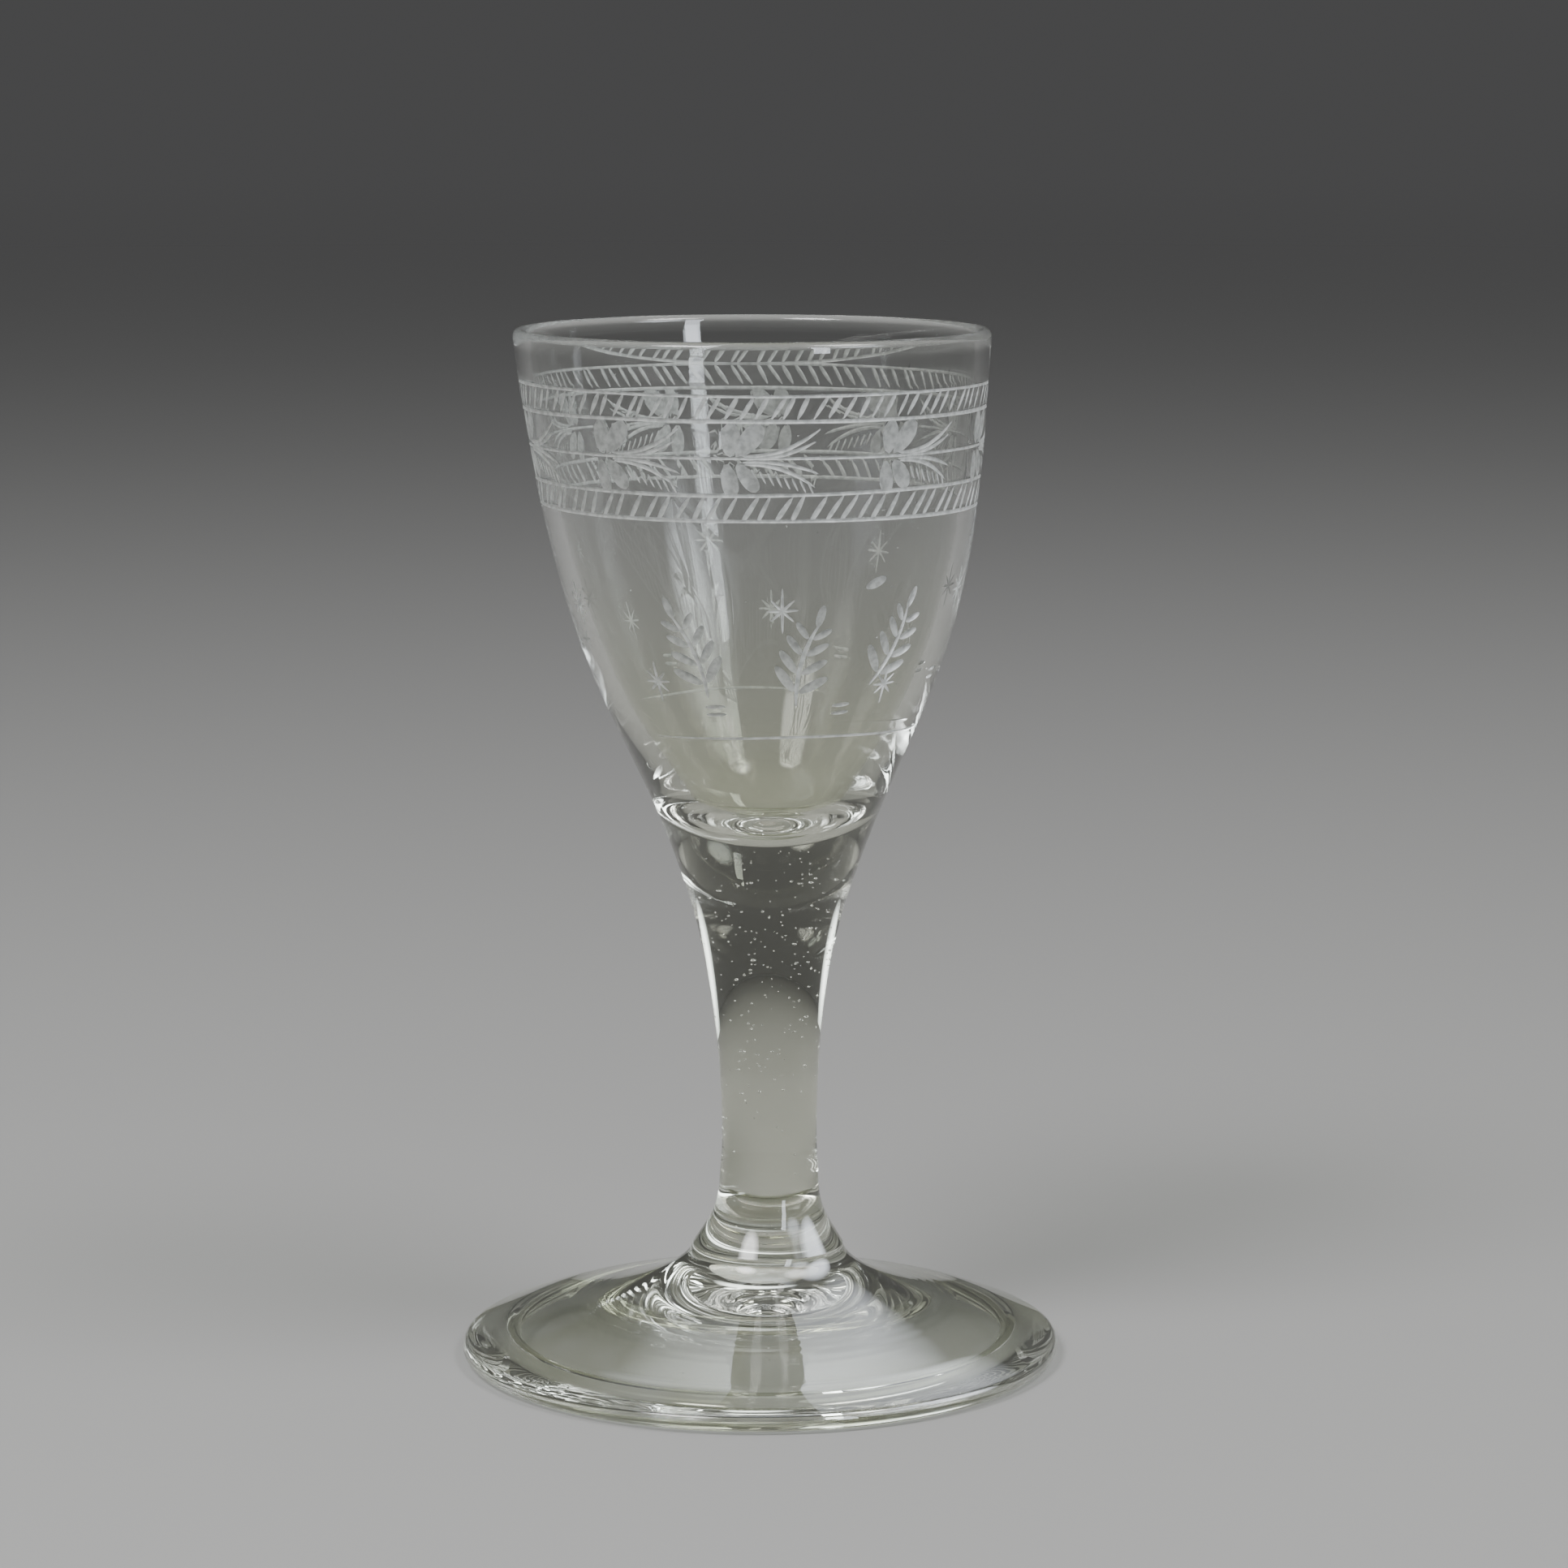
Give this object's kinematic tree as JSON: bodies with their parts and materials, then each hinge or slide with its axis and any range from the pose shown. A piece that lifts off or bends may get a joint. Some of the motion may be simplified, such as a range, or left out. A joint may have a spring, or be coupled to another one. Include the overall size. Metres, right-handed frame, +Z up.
{
  "type": "stemmed dram glass",
  "caption": "Small stemmed drinking glass with a round funnel bowl, solid stem, short post and conical foot with a folded rim.",
  "frame": {"origin": "centre of the ring that the foot stands on, at the surface under it", "axes": "+Z up along the stem, from foot to rim; the object is turned about Z, and the engraving's front faces -Y"},
  "size_m": [0.064, 0.064, 0.11],
  "materials": {
    "bowl_glass": "clear blown soda glass, faint grey-green tint, shallow matt engraving on the outside",
    "stem_glass": "clear solid glass with many fine seed bubbles",
    "foot_glass": "clear glass with faint turned tool marks and fine wear, greenish at its edge",
    "scar_glass": "rough broken glass, dull and slightly brown"
  },
  "bodies": {
    "root": {"bowl": "bowl_glass", "stem": "stem_glass", "post": "stem_glass", "foot": "foot_glass", "pontil_scar": "scar_glass"}
  },
  "joints": []
}
